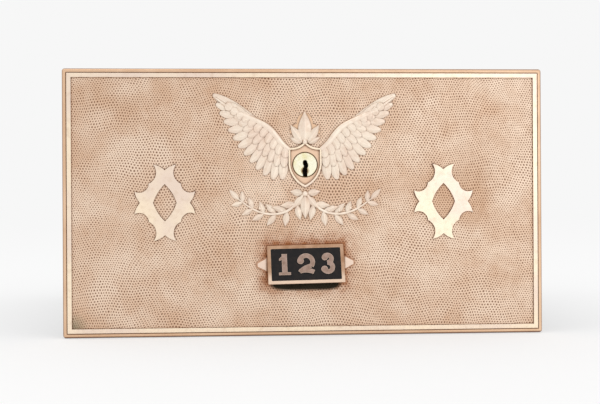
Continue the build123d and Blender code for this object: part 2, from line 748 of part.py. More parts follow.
def clip_rivet_places():
    """In the tray's side, the upper one clear below the hem."""
    upper = tray_rim - hem_height - rivet_head_radius - 1.0
    return [((clip_front + clip_rear) / 2, z) for z in (upper - 3 * rivet_head_radius, upper)]


def tray_back():
    """The low back panel, with flanges turned forwards onto the sides and floor."""
    inner, low, top = tray_inner - slip_gap, tray_floor + slip_gap, tray_bottom + back_height
    corner = tray_corner - sheet
    panel = Pos(0, (low + top) / 2) * Rectangle(2 * inner, top - low)
    panel = fillet(panel.vertices().group_by(Axis.Y)[0], corner)
    body = slab(panel, tray_end - sheet, tray_end)
    hem = Pos(0, top - hem_height / 2) * Rectangle(2 * inner - 4 * sheet, hem_height)
    body += slab(hem, tray_end - 2 * sheet, tray_end - sheet)
    flange = Pos(inner - sheet / 2, (low + top) / 2) * Rectangle(sheet, top - low - 4 * corner)
    flange = slab(flange, tray_end - back_flange, tray_end - sheet)
    foot = Pos(0, low + sheet / 2) * Rectangle(2 * inner - 8 * corner, sheet)
    body += [flange, mirrored(flange), slab(foot, tray_end - back_flange, tray_end - sheet)]
    for y, z in back_rivet_places():
        hole = side_hole(y, z, tray_half_width, 2 * sheet)
        body -= hole
        body -= mirrored(hole)
    for x in (-floor_screw_x, floor_screw_x):
        body -= Pos(x, back_rivet_y(), tray_floor) * Cylinder(rivet_radius + slip_gap, 6 * sheet)
    return body


def tray_rivets():
    grip = 2 * sheet + slip_gap
    sides = [side_rivet(y, z, tray_half_width, grip) for y, z in back_rivet_places()]
    top = tray_floor + slip_gap + sheet
    floors = [Pos(x, back_rivet_y(), top) * rivet(grip) for x in (-floor_screw_x, floor_screw_x)]
    return both_sides(sides) + floors


def tray_screws():
    return [slotted_screw(x, z, tab_back, seat_face - thread_depth) for x, z in tray_screw_places()]


def stop_clip():
    """The spring strip on the tray's right side whose foot runs under the sleeve's roof."""
    low, top = clip_rivet_places()[0][1] - 1.6 * rivet_head_radius, roof - clip_roof_gap
    middle = (clip_front + clip_rear) / 2
    strip = Pos(tray_inner - sheet / 2 - slip_gap, middle, (low + top) / 2) * Box(sheet, clip_width, top - low)
    foot = Pos(tray_inner - slip_gap - clip_foot / 2, middle, top - sheet / 2) * Box(clip_foot, clip_width,
                                                                                    sheet)
    clip = strip + foot
    for y, z in clip_rivet_places():
        clip -= side_hole(y, z, tray_inner, 2 * sheet)
    return clip


def clip_rivets():
    grip = 2 * sheet + slip_gap
    return both_sides([side_rivet(y, z, tray_half_width, grip) for y, z in clip_rivet_places()])


# --- Sleeve ---------------------------------------------------------------------------------------------------
def sleeve_shell():
    section = RectangleRounded(sleeve_width, sleeve_height, sleeve_corner)
    section -= RectangleRounded(hollow_width, hollow_height, sleeve_corner - sheet)
    body = slab(section, flange_face, sleeve_depth)
    for y in runner_rivet_places():
        hole = side_hole(y, runner_rivet_z(), sleeve_width / 2, sheet)
        body -= hole
        body -= mirrored(hole)
    for x, y in roof_rivet_places():
        body -= Pos(x, y, roof) * Cylinder(rivet_radius + slip_gap, 6 * sheet)
    return body


def mounting_flange():
    opening = RectangleRounded(sleeve_width + 2 * slip_gap, sleeve_height + 2 * slip_gap, sleeve_corner)
    body = slab(RectangleRounded(flange_width, flange_height, 2.0) - opening, flange_face, 0)
    for x in (-flange_hole_x(), flange_hole_x()):
        for z in (-flange_hole_z(), flange_hole_z()):
            body -= rod(flange_hole_radius, flange_face, 0, x, z)
    return body


def flange_hole_x():
    return flange_width / 2 - flange_hole_inset


def flange_hole_z():
    return flange_height / 2 - flange_hole_inset


def runner():
    """The right-hand angle that carries and guides the tray."""
    inner = hollow_width / 2 - slip_gap
    low = floor + slip_gap
    section = make_face(Polyline((inner, low + runner_leg), (inner, low + sleeve_corner),
                                 (inner - sleeve_corner, low), (inner - runner_leg, low),
                                 (inner - runner_leg, low + runner_thickness - slip_gap),
                                 (inner - sleeve_corner, low + runner_thickness - slip_gap),
                                 (inner - runner_thickness, low + sleeve_corner),
                                 (inner - runner_thickness, low + runner_leg), close=True))
    body = slab(section, runner_setback, sleeve_depth - runner_setback)
    for y in runner_rivet_places():
        body -= side_hole(y, runner_rivet_z(), sleeve_width / 2 - sheet, 2 * runner_thickness)
    return body


def runner_rivet_z():
    return floor + runner_leg * 0.62


def runner_rivet_places():
    count = 4
    reach = sleeve_depth - 2 * runner_setback - 40
    return [runner_setback + 20 + reach * i / (count - 1) for i in range(count)]


def runner_rivets():
    grip = sheet + slip_gap + runner_thickness
    return both_sides([side_rivet(y, runner_rivet_z(), sleeve_width / 2, grip) for y in runner_rivet_places()])


def keeper():
    """The angle under the roof that the bolt rises behind."""
    top = roof - slip_gap
    front = keeper_back - keeper_reach
    leg = Pos(0, (keeper_edge + top) / 2) * Rectangle(keeper_width, top - keeper_edge)
    body = slab(leg, keeper_back - keeper_thickness, keeper_back)
    flat = Pos(0, top - keeper_thickness / 2) * Rectangle(keeper_width, keeper_thickness)
    body += slab(flat, front, keeper_back)
    for x, y in roof_rivet_places()[:2]:
        body -= Pos(x, y, roof) * Cylinder(rivet_radius + slip_gap, 4 * keeper_thickness)
    return body


def drawer_stop():
    """The right-hand angle under the roof that the tray's clip runs up against."""
    top, outer = roof - slip_gap, tray_half_width
    low = keeper_edge
    middle = outer - stop_width / 2
    back = stop_front + stop_reach
    leg = Pos(middle, (low + top) / 2) * Rectangle(stop_width, top - low)
    body = slab(leg, back - stop_thickness, back)
    flat = Pos(middle, top - stop_thickness / 2) * Rectangle(stop_width, stop_thickness)
    body += slab(flat, stop_front, back)
    for x, y in roof_rivet_places()[2:]:
        body -= Pos(x, y, roof) * Cylinder(rivet_radius + slip_gap, 6 * stop_thickness)
    return body


def roof_rivet_places():
    """Two for the keeper, then one for each stop."""
    keeper_y = keeper_back - keeper_thickness - (keeper_reach - keeper_thickness) / 2
    stop_x = tray_half_width - stop_width / 2
    stop_y = stop_front + (stop_reach - stop_thickness) / 2
    keeper_x = keeper_width / 2 - 7
    return [(-keeper_x, keeper_y), (keeper_x, keeper_y), (-stop_x, stop_y), (stop_x, stop_y)]


def keeper_rivets():
    grip = sheet + slip_gap + keeper_thickness
    return [Pos(x, y, roof + sheet) * rivet(grip) for x, y in roof_rivet_places()[:2]]


def stop_rivets():
    grip = sheet + slip_gap + stop_thickness
    return [Pos(x, y, roof + sheet) * rivet(grip) for x, y in roof_rivet_places()[2:]]


# --- Writing --------------------------------------------------------------------------------------------------
def group(shapes):
    """Separate pieces that share one node."""
    return Compound(children=list(shapes))


os.makedirs("parts", exist_ok=True)
pieces = {
    "sleeve_shell": sleeve_shell(),
    "mounting_flange": mounting_flange(),
    "runner_right": runner(),
    "runner_left": mirrored(runner()),
    "runner_rivets": group(runner_rivets()),
    "keeper": keeper(),
    "keeper_rivets": group(keeper_rivets()),
    "drawer_stop_right": drawer_stop(),
    "drawer_stop_left": mirrored(drawer_stop()),
    "stop_rivets": group(stop_rivets()),
    "front_casting": front_casting(),
    "pull_hood": pull_hood(),
    "number_plate": number_plate(),
    "pull_screws": group(pull_screws()),
    "tray_shell": tray_shell(),
    "tray_back": tray_back(),
    "tray_rivets": group(tray_rivets()),
    "tray_screws": group(tray_screws()),
    "stop_clip_right": stop_clip(),
    "stop_clip_left": mirrored(stop_clip()),
    "clip_rivets": group(clip_rivets()),
    "lock_case": lock_case(),
    "lock_cover": lock_cover(),
    "bolt_guide_post": guide_post(),
    "lock_screws": group(lock_screws()),
    "cylinder_body": cylinder_body(),
    "cylinder_screws": group(cylinder_screws()),
    "spring_cover": spring_cover(),
    "driver_pins": group(driver_pins()),
    "pin_springs": group(pin_springs()),
    "plug": plug(),
    "key_pins": group(key_pins()),
    "cam": cam(),
    "cam_screws": group(cam_screws()),
    "bolt": bolt(),
}
for name, piece in pieces.items():
    export_step(piece, f"parts/{name}.step")
print("lock axis z", round(lock_z, 2), "pull z", round(pull_z, 2), "travel", round(
    clip_front - stop_front - stop_reach - 0.5, 2))
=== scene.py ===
import json
import math

import bmesh
import bpy
from mathutils import Matrix, Vector


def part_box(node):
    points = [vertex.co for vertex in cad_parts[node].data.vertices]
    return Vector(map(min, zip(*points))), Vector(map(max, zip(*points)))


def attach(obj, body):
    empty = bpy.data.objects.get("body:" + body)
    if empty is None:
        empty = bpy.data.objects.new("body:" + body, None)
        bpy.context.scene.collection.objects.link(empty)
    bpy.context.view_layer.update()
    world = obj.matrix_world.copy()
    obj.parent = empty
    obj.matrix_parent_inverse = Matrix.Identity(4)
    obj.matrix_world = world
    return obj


# A lock drawer for letters: a cast bronze front on a steel drawer, in a steel sleeve that is let into a wall.
# Metres, +Z up, the front faces -Y. The solids come from the frame and get their finishes here. The front
# gets its pebbled ground, the wings and crest round its shield, and the leaf sprays below.

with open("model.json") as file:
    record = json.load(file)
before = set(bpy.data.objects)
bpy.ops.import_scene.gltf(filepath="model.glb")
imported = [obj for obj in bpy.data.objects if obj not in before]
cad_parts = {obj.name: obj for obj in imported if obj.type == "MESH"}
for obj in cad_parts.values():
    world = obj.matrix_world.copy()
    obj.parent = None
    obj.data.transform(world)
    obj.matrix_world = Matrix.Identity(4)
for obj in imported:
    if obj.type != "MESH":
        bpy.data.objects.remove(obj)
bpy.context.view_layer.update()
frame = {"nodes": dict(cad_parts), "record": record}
nodes = frame["nodes"]
mm = 0.001

# --- Sizes the pieces share -------------------------------------------------------------------------------
front_low, front_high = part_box("front_casting")
plug_low, plug_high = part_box("plug")
hood_low, hood_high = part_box("pull_hood")
lock_axis = (plug_low + plug_high) / 2
plug_face = plug_low.y
plug_head_radius = (plug_high.x - plug_low.x) / 2
field_y = plug_face + 0.7 * mm           # the plug's face stands this far out of the field
rim_y = field_y - 1.2 * mm
rim_and_land = 5.0 * mm
field_half_width = front_high.x - rim_and_land
field_half_height = front_high.z - rim_and_land
pull_middle = (hood_low + hood_high) / 2
pull_half_width = 21.75 * mm
pull_half_height = (hood_high.z - hood_low.z) / 2
pull_lean = math.atan2(8.0, 21.4)        # its face comes out 8.0 mm over its height of 21.4 mm


# --- Modelling helpers ------------------------------------------------------------------------------------
def work_on(piece):
    for item in bpy.context.selected_objects:
        item.select_set(False)
    piece.select_set(True)
    bpy.context.view_layer.objects.active = piece


def edit(piece, kind="VERT"):
    work_on(piece)
    bpy.ops.object.mode_set(mode="EDIT")
    bpy.ops.mesh.select_mode(type=kind)
    bpy.ops.mesh.select_all(action="DESELECT")


def pick(piece, kind, wanted):
    """Selects just the verts, edges or faces of the piece in edit mode for which wanted is true."""
    mesh = bmesh.from_edit_mesh(piece.data)
    for element in getattr(mesh, kind):
        element.select_set(False)
    for element in getattr(mesh, kind):
        if wanted(element):
            element.select_set(True)
    bmesh.update_edit_mesh(piece.data)


def leave_edit():
    bpy.ops.object.mode_set(mode="OBJECT")


def apply_place(piece):
    work_on(piece)
    bpy.ops.object.transform_apply(location=True, rotation=True, scale=True)


def apply_modifier(piece, kind, **settings):
    work_on(piece)
    modifier = piece.modifiers.new(kind.lower(), kind)
    for key, value in settings.items():
        setattr(modifier, key, value)
    bpy.ops.object.modifier_apply(modifier=modifier.name)


def face_outwards(piece):
    edit(piece, "FACE")
    bpy.ops.mesh.select_all(action="SELECT")
    bpy.ops.mesh.normals_make_consistent(inside=False)
    leave_edit()


def copy_of(piece):
    twin = piece.copy()
    twin.data = piece.data.copy()
    bpy.context.scene.collection.objects.link(twin)
    return twin


def join(pieces, name):
    work_on(pieces[0])
    for piece in pieces:
        piece.select_set(True)
    bpy.ops.object.join()
    pieces[0].name = name
    pieces[0].data.name = name
    return pieces[0]


def other_side(piece, name):
    """The same piece mirrored across the middle of the front."""
    twin = copy_of(piece)
    twin.name = name
    twin.data.name = name
    twin.scale = (-1, 1, 1)
    apply_place(twin)
    face_outwards(twin)
    return twin


def shade_smooth(piece, angle=60):
    work_on(piece)
    bpy.ops.object.shade_smooth_by_angle(angle=math.radians(angle))


def finish_piece(piece, material, body="drawer"):
    piece.data.materials.clear()
    piece.data.materials.append(material)
    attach(piece, body)


# --- Finishes: the tools ----------------------------------------------------------------------------------
def linear(hex_colour):
    """An sRGB hex value as linear red, green, blue and a full alpha."""
    parts = [int(hex_colour[i:i + 2], 16) / 255 for i in (1, 3, 5)]
    return tuple(p / 12.92 if p <= 0.04045 else ((p + 0.055) / 1.055) ** 2.4 for p in parts) + (1.0,)


def add_node(tree, kind, inputs=None, **settings):
    """Adds a node, sets or links its inputs by name or number, and returns its outputs."""
    node = tree.nodes.new(kind)
    for key, value in settings.items():
        setattr(node, key, value)
    for key, value in (inputs or {}).items():
        if isinstance(value, bpy.types.NodeSocket):
            tree.links.new(value, node.inputs[key])
        else:
            node.inputs[key].default_value = value
    return node.outputs


def new_finish(name, metallic=1.0):
    """A material with one shader, and the place on the piece that its patterns follow."""
    material = bpy.data.materials.new(name)
    material.use_nodes = True
    tree = material.node_tree
    tree.nodes.clear()
    shader = tree.nodes.new("ShaderNodeBsdfPrincipled")
    shader.inputs["Metallic"].default_value = metallic
    add_node(tree, "ShaderNodeOutputMaterial", {"Surface": shader.outputs["BSDF"]})
    place = add_node(tree, "ShaderNodeTexCoord")["Object"]
    return material, tree, shader, place


def patches(tree, place, size, bare, full, detail=4.0, roughness=0.55):
    """Cloudy patches about size across: 0 where the cloud is thinner than bare, 1 where it is thicker than
    full."""
    cloud = add_node(tree, "ShaderNodeTexNoise", {"Vector": place, "Scale": 1 / size, "Detail": detail,
                                                  "Roughness": roughness})["Fac"]
    return add_node(tree, "ShaderNodeMapRange", {"Value": cloud, "From Min": bare,
                                                 "From Max": full})["Result"]


def depth_mask(tree, place, front, back):
    """1 at depth front, falling to 0 at depth back."""
    depth = add_node(tree, "ShaderNodeSeparateXYZ", {"Vector": place})["Y"]
    return add_node(tree, "ShaderNodeMapRange", {"Value": depth, "From Min": front, "From Max": back,
                                                 "To Min": 1.0, "To Max": 0.0})["Result"]


def corners(tree, reach, open_share, shut_share):
    """1 in corners and joints narrower than reach, 0 in the open."""
    light = add_node(tree, "ShaderNodeAmbientOcclusion", {"Distance": reach}, samples=8)["AO"]
    return add_node(tree, "ShaderNodeMapRange", {"Value": light, "From Min": shut_share,
                                                 "From Max": open_share, "To Min": 1.0,
                                                 "To Max": 0.0})["Result"]


def worn_edges(tree, radius):
    """1 on sharp outer edges, 0 on flats: how far a rounded edge leaves the true face."""
    rounded = add_node(tree, "ShaderNodeBevel", {"Radius": radius}, samples=4)["Normal"]
    true_face = add_node(tree, "ShaderNodeNewGeometry")["Normal"]
    agreement = add_node(tree, "ShaderNodeVectorMath", {0: rounded, 1: true_face}, operation="DOT_PRODUCT")
    return add_node(tree, "ShaderNodeMapRange", {"Value": agreement["Value"], "From Min": 0.98,
                                                 "From Max": 0.72})["Result"]


def both(tree, first, second):
    """Where two masks agree."""
    return add_node(tree, "ShaderNodeMath", {0: first, 1: second}, operation="MULTIPLY")["Value"]


def laid_over(tree, colour, where, tint, strength=1.0):
    """The colour with a tint laid over it where the mask says."""
    share = both(tree, where, strength)
    return add_node(tree, "ShaderNodeMix", {"Factor": share, 6: colour, 7: linear(tint)}, data_type="RGBA")[2]


def between(tree, where, low, high):
    """A number that goes from low to high with the mask."""
    return add_node(tree, "ShaderNodeMapRange", {"Value": where, "To Min": low, "To Max": high})["Result"]


def fine_relief(tree, height, depth, edge_radius):
    """A bump of this depth over edges softened to this radius."""
    rounded = add_node(tree, "ShaderNodeBevel", {"Radius": edge_radius}, samples=4)["Normal"]
    return add_node(tree, "ShaderNodeBump", {"Height": height, "Distance": depth,
                                             "Normal": rounded})["Normal"]


# --- Bronze -----------------------------------------------------------------------------------------------
def near_pull(tree, place, reach):
    """1 against the pull, falling to 0 at reach from it."""
    offset = add_node(tree, "ShaderNodeVectorMath", {0: place, 1: pull_middle},
                      operation="SUBTRACT")["Vector"]
    size = add_node(tree, "ShaderNodeVectorMath", {0: offset}, operation="ABSOLUTE")["Vector"]
    block = (pull_half_width, 1.0, pull_half_height)
    past = add_node(tree, "ShaderNodeVectorMath", {0: size, 1: block}, operation="SUBTRACT")["Vector"]
    outside = add_node(tree, "ShaderNodeVectorMath", {0: past}, operation="MAXIMUM")["Vector"]
    distance = add_node(tree, "ShaderNodeVectorMath", {0: outside}, operation="LENGTH")["Value"]
    return add_node(tree, "ShaderNodeMapRange", {"Value": distance, "From Min": 0.3 * mm, "From Max": reach,
                                                 "To Min": 1.0, "To Max": 0.0})["Result"]


def under_pull(tree, place):
    """1 on the strip of ground that the pull's lip shades, softening at its lower edge."""
    middle = Vector((0, 0, hood_low.z - 0.4 * mm))
    offset = add_node(tree, "ShaderNodeVectorMath", {0: place, 1: middle}, operation="SUBTRACT")["Vector"]
    stretch = (1 / (20.6 * mm), 0, 1 / (3.9 * mm))
    share = add_node(tree, "ShaderNodeVectorMath", {0: offset, 1: stretch}, operation="MULTIPLY")["Vector"]
    axes = add_node(tree, "ShaderNodeSeparateXYZ", {"Vector": share})
    across = add_node(tree, "ShaderNodeMath", {0: axes["X"], 1: 6.0}, operation="POWER")["Value"]
    down = add_node(tree, "ShaderNodeMath", {0: axes["Z"], 1: 2.0}, operation="POWER")["Value"]
    total = add_node(tree, "ShaderNodeMath", {0: across, 1: down}, operation="ADD")["Value"]
    return add_node(tree, "ShaderNodeMapRange", {"Value": total, "From Min": 0.5, "From Max": 1.2,
                                                 "To Min": 1.0, "To Max": 0.0})["Result"]


def outermost(tree, place, width):
    """1 on the front's sides and on this width of its rounded edge."""
    size = add_node(tree, "ShaderNodeVectorMath", {0: place}, operation="ABSOLUTE")["Vector"]
    inner = (front_high.x - width, 1.0, front_high.z - width)
    past = add_node(tree, "ShaderNodeVectorMath", {0: size, 1: inner}, operation="SUBTRACT")["Vector"]
    outside = add_node(tree, "ShaderNodeVectorMath", {0: past}, operation="MAXIMUM")["Vector"]
    distance = add_node(tree, "ShaderNodeVectorMath", {0: outside}, operation="LENGTH")["Value"]
    return add_node(tree, "ShaderNodeMapRange", {"Value": distance, "From Max": width * 0.7})["Result"]


def bronze_colour(tree, place, pale, deep, stained):
    """The alloy's own colour, mottled by handling, with broad brown stains and the rust-red halo by the
    pull."""
    colour = laid_over(tree, linear(pale), patches(tree, place, 24 * mm, 0.36, 0.66), deep)
    colour = laid_over(tree, colour, patches(tree, place, 60 * mm, 0.53, 0.72), stained, 0.45)
    halo = both(tree, near_pull(tree, place, 9 * mm), patches(tree, place, 4 * mm, 0.25, 0.6))
    colour = laid_over(tree, colour, halo, "#A9683C", 0.85)
    return laid_over(tree, colour, near_pull(tree, place, 3 * mm), "#9A5C35", 0.6)


def polished_bronze():
    """Cast bronze filed flat and polished: near-white on its worn faces, tan on the outer land, tarnish and
    painted shade in every corner, and painted shade along the outermost edge and on its sides."""
    material, tree, shader, place = new_finish("polished_cast_bronze")
    colour = bronze_colour(tree, place, "#ECC9A9", "#E0BA99", "#C99A73")
    deep = depth_mask(tree, place, rim_y + 1.0 * mm, rim_y + 0.7 * mm)
    colour = laid_over(tree, colour, deep, "#EBCDB9", 0.8)
    high = depth_mask(tree, place, rim_y + 0.12 * mm, rim_y + 0.3 * mm)
    colour = laid_over(tree, colour, high, "#FFEBD0")
    pink = both(tree, high, patches(tree, place, 30 * mm, 0.42, 0.62))
    colour = laid_over(tree, colour, pink, "#F0DACB", 0.8)
    dull = both(tree, high, patches(tree, place, 3 * mm, 0.52, 0.7, detail=6))
    colour = laid_over(tree, colour, dull, "#DCC0A6", 0.4)
    # painted shade: brown on the rounded outer edge, which turns away from the light, and on the sides
    colour = laid_over(tree, colour, outermost(tree, place, 0.7 * mm), "#7A4E33", 0.8)
    # painted shade in every corner, laid over the tarnish that collects there
    colour = laid_over(tree, colour, corners(tree, 1.6 * mm, 0.93, 0.5), "#6E4429", 0.92)
    roughness = between(tree, patches(tree, place, 4 * mm, 0.3, 0.7, detail=6), 0.30, 0.44)
    roughness = add_node(tree, "ShaderNodeMath", {0: roughness, 1: both(tree, high, 0.12)},
                         operation="SUBTRACT")["Value"]
    grain = patches(tree, place, 0.45 * mm, 0.2, 0.8, detail=2)
    tree.links.new(colour, shader.inputs["Base Color"])
    tree.links.new(roughness, shader.inputs["Roughness"])
    tree.links.new(fine_relief(tree, grain, 0.012 * mm, 0.2 * mm), shader.inputs["Normal"])
    return material


def pebbled_bronze():
    """The ground that was punched all over before casting: brown in its pits, pale on the lands between them,
    green-grey in its lower left corner, tarnish and painted shade against the relief, and a painted shadow
    with dark tarnish, near black, in the strip under the pull."""
    material, tree, shader, place = new_finish("pebbled_cast_bronze")
    colour = bronze_colour(tree, place, "#F1D8C1", "#E0BEA2", "#C3956F")
    pit = depth_mask(tree, place, field_y - 0.14 * mm, field_y - 0.3 * mm)
    colour = laid_over(tree, colour, pit, "#6E4226", 0.9)
    low_corner = Vector((-field_half_width, 0, -field_half_height))
    offset = add_node(tree, "ShaderNodeVectorMath", {0: place, 1: low_corner}, operation="SUBTRACT")["Vector"]
    flat = add_node(tree, "ShaderNodeVectorMath", {0: offset, 1: (1, 0, 1)}, operation="MULTIPLY")["Vector"]
    distance = add_node(tree, "ShaderNodeVectorMath", {0: flat}, operation="LENGTH")["Value"]
    verdigris = add_node(tree, "ShaderNodeMapRange", {"Value": distance, "From Min": 2 * mm,
                                                      "From Max": 10 * mm, "To Min": 1.0, "To Max": 0.0})
    colour = laid_over(tree, colour, verdigris["Result"], "#7E7A62", 0.7)
    # painted shade where the ground meets the relief and the rim, laid over the tarnish there
    colour = laid_over(tree, colour, corners(tree, 2.0 * mm, 0.8, 0.4), "#6E4429", 0.75)
    # painted shadow of the pull's lip, with dark tarnish: near black on the strip under it
    colour = laid_over(tree, colour, under_pull(tree, place), "#1C1E17", 0.97)
    roughness = between(tree, patches(tree, place, 3 * mm, 0.3, 0.7, detail=6), 0.36, 0.52)
    grain = patches(tree, place, 0.4 * mm, 0.2, 0.8, detail=2)
    tree.links.new(colour, shader.inputs["Base Color"])
    tree.links.new(roughness, shader.inputs["Roughness"])
    tree.links.new(fine_relief(tree, grain, 0.02 * mm, 0.05 * mm), shader.inputs["Normal"])
    return material


def chased_bronze():
    """Relief chased by hand: pale where fingers reach, tarnish and painted shade in its folds, with a
    feather's barbs or a leaf's veins cut fine from the midrib."""
    material, tree, shader, place = new_finish("chased_cast_bronze")
    colour = laid_over(tree, linear("#FCEEDC"), patches(tree, place, 14 * mm, 0.36, 0.66), "#F3DDCB")
    colour = laid_over(tree, colour, patches(tree, place, 3 * mm, 0.5, 0.72, detail=6), "#DFC2A8", 0.4)
    foot = depth_mask(tree, place, field_y + 0.1 * mm, field_y - 0.45 * mm)
    colour = laid_over(tree, colour, foot, "#B98C6B", 0.6)
    barb_pitch = 0.85
    barb_slope = -1.7                        # how far a barb runs along the feather for each step off its rib
    vane_map = add_node(tree, "ShaderNodeUVMap", uv_map="vane")["UV"]
    vane = add_node(tree, "ShaderNodeSeparateXYZ", {"Vector": vane_map})
    off_rib = add_node(tree, "ShaderNodeMath", {0: vane["X"]}, operation="ABSOLUTE")["Value"]
    slant = add_node(tree, "ShaderNodeMath", {0: off_rib, 1: barb_slope, 2: vane["Y"]},
                     operation="MULTIPLY_ADD")["Value"]
    turn = add_node(tree, "ShaderNodeMath", {0: slant, 1: 2 * math.pi / barb_pitch},
                    operation="MULTIPLY")["Value"]
    ridge = add_node(tree, "ShaderNodeMath", {0: turn}, operation="SINE")["Value"]
    cut = add_node(tree, "ShaderNodeMapRange", {"Value": ridge, "From Min": -1.0, "From Max": -0.2,
                                                "To Min": 1.0, "To Max": 0.0})["Result"]
    beside_rib = add_node(tree, "ShaderNodeMapRange", {"Value": off_rib, "From Min": 0.12, "From Max": 0.3})
    cut = both(tree, cut, beside_rib["Result"])
    colour = laid_over(tree, colour, cut, "#C39D80", 0.4)
    # painted shade in the folds between feathers and leaves, laid over the tarnish there
    colour = laid_over(tree, colour, corners(tree, 1.0 * mm, 0.9, 0.5), "#7E5236", 0.8)
    roughness = between(tree, patches(tree, place, 4 * mm, 0.3, 0.7, detail=6), 0.30, 0.46)
    height = add_node(tree, "ShaderNodeMath", {0: 1.0, 1: cut}, operation="SUBTRACT")["Value"]
    tree.links.new(colour, shader.inputs["Base Color"])
    tree.links.new(roughness, shader.inputs["Roughness"])
    tree.links.new(fine_relief(tree, height, 0.05 * mm, 0.08 * mm), shader.inputs["Normal"])
    return material


def handled_bronze():
    """The pull: brown where the fingers don't reach, polished by them along its lip and its edges, tarnish
    and painted shade in its corners, and painted shade with dark tarnish, near black, inside its hollow."""
    material, tree, shader, place = new_finish("handled_cast_bronze")
    colour = laid_over(tree, linear("#C9A488"), patches(tree, place, 8 * mm, 0.36, 0.64), "#AE8567")
    lip = depth_mask(tree, place, hood_low.y + 0.9 * mm, hood_low.y + 2.4 * mm)
    colour = laid_over(tree, colour, lip, "#F3D9C2", 0.8)
    from_middle = add_node(tree, "ShaderNodeSeparateXYZ", {"Vector": place})["X"]
    across = add_node(tree, "ShaderNodeMath", {0: from_middle}, operation="ABSOLUTE")["Value"]
    ears = add_node(tree, "ShaderNodeMapRange", {"Value": across, "From Min": pull_half_width,
                                                 "From Max": pull_half_width + 1.2 * mm})["Result"]
    colour = laid_over(tree, colour, ears, "#F3DCCA", 0.85)
    colour = laid_over(tree, colour, worn_edges(tree, 0.35 * mm), "#F2D8C0", 0.75)
    # painted shade in the pull's corners, laid over the tarnish there
    colour = laid_over(tree, colour, corners(tree, 1.6 * mm, 0.9, 0.5), "#5E3A22", 0.9)
    # painted shade with dark tarnish: near black inside the hollow, where little light reaches
    colour = laid_over(tree, colour, corners(tree, 14 * mm, 0.42, 0.3), "#15130F", 0.95)
    roughness = between(tree, patches(tree, place, 3 * mm, 0.3, 0.7, detail=6), 0.26, 0.42)
    grain = patches(tree, place, 0.6 * mm, 0.2, 0.8, detail=2)
    tree.links.new(colour, shader.inputs["Base Color"])
    tree.links.new(roughness, shader.inputs["Roughness"])
    tree.links.new(fine_relief(tree, grain, 0.015 * mm, 0.25 * mm), shader.inputs["Normal"])
    return material


def enamelled_plate():
    """Black stoving enamel wiped off the figures: a black ground with grey-brown bronze figures whose edges
    have worn bright."""
    material, tree, shader, place = new_finish("black_enamelled_bronze")
    outward = Vector((0, -math.cos(pull_lean), math.sin(pull_lean)))
    top = max(outward.dot(vert.co) for vert in nodes["number_plate"].data.vertices)
    out = add_node(tree, "ShaderNodeVectorMath", {0: place, 1: outward}, operation="DOT_PRODUCT")["Value"]
    figure = add_node(tree, "ShaderNodeMapRange", {"Value": out, "From Min": top - 0.4 * mm,
                                                   "From Max": top - 0.25 * mm})["Result"]
    ground = laid_over(tree, linear("#120E0F"), patches(tree, place, 3 * mm, 0.45, 0.75, detail=6), "#261D19")
    worn = laid_over(tree, linear("#B0968A"), patches(tree, place, 2.5 * mm, 0.35, 0.7), "#957B6C")
    worn = laid_over(tree, worn, worn_edges(tree, 0.6 * mm), "#EAD3C0", 0.9)
    colour = add_node(tree, "ShaderNodeMix", {"Factor": figure, 6: ground, 7: worn}, data_type="RGBA")[2]
    roughness = between(tree, patches(tree, place, 1.5 * mm, 0.3, 0.7), 0.28, 0.5)
    tree.links.new(colour, shader.inputs["Base Color"])
    tree.links.new(figure, shader.inputs["Metallic"])
    shader.inputs["Specular IOR Level"].default_value = 0.25
    tree.links.new(roughness, shader.inputs["Roughness"])
    ripple = patches(tree, place, 0.8 * mm, 0.2, 0.8)
    tree.links.new(fine_relief(tree, ripple, 0.02 * mm, 0.15 * mm), shader.inputs["Normal"])
    return material


# --- Other metals -----------------------------------------------------------------------------------------
def turned_brass():
    """The plug, turned from bar and polished by its key: pale yellow with fine lathe rings, brown round the
    keyhole's cup and painted shade, black, down the keyway."""
    material, tree, shader, place = new_finish("polished_turned_brass")
    colour = laid_over(tree, linear("#FCF7DE"), patches(tree, place, 6 * mm, 0.4, 0.7), "#F1E6B4")
    brown = depth_mask(tree, place, plug_face + 1.0 * mm, plug_face + 0.12 * mm)
    colour = laid_over(tree, colour, brown, "#8A5F45", 0.85)
    # painted shade: black down the keyway, where no light reaches
    black = depth_mask(tree, place, plug_face + 2.0 * mm, plug_face + 1.1 * mm)
    colour = laid_over(tree, colour, black, "#140E0A", 0.97)
    from_axis = add_node(tree, "ShaderNodeVectorMath", {0: place, 1: lock_axis},
                         operation="SUBTRACT")["Vector"]
    ring_pitch = 0.6 * mm
    rings_apart = 0.314                      # how far apart the texture sets its rings at a scale of 1
    rings = add_node(tree, "ShaderNodeTexWave", {"Vector": from_axis, "Scale": rings_apart / ring_pitch,
                                                 "Distortion": 0.4},
                     wave_type="RINGS", rings_direction="Y")["Fac"]
    roughness = between(tree, patches(tree, place, 2 * mm, 0.3, 0.7), 0.14, 0.26)
    tree.links.new(colour, shader.inputs["Base Color"])
    tree.links.new(roughness, shader.inputs["Roughness"])
    tree.links.new(fine_relief(tree, rings, 0.005 * mm, 0.12 * mm), shader.inputs["Normal"])
    return material


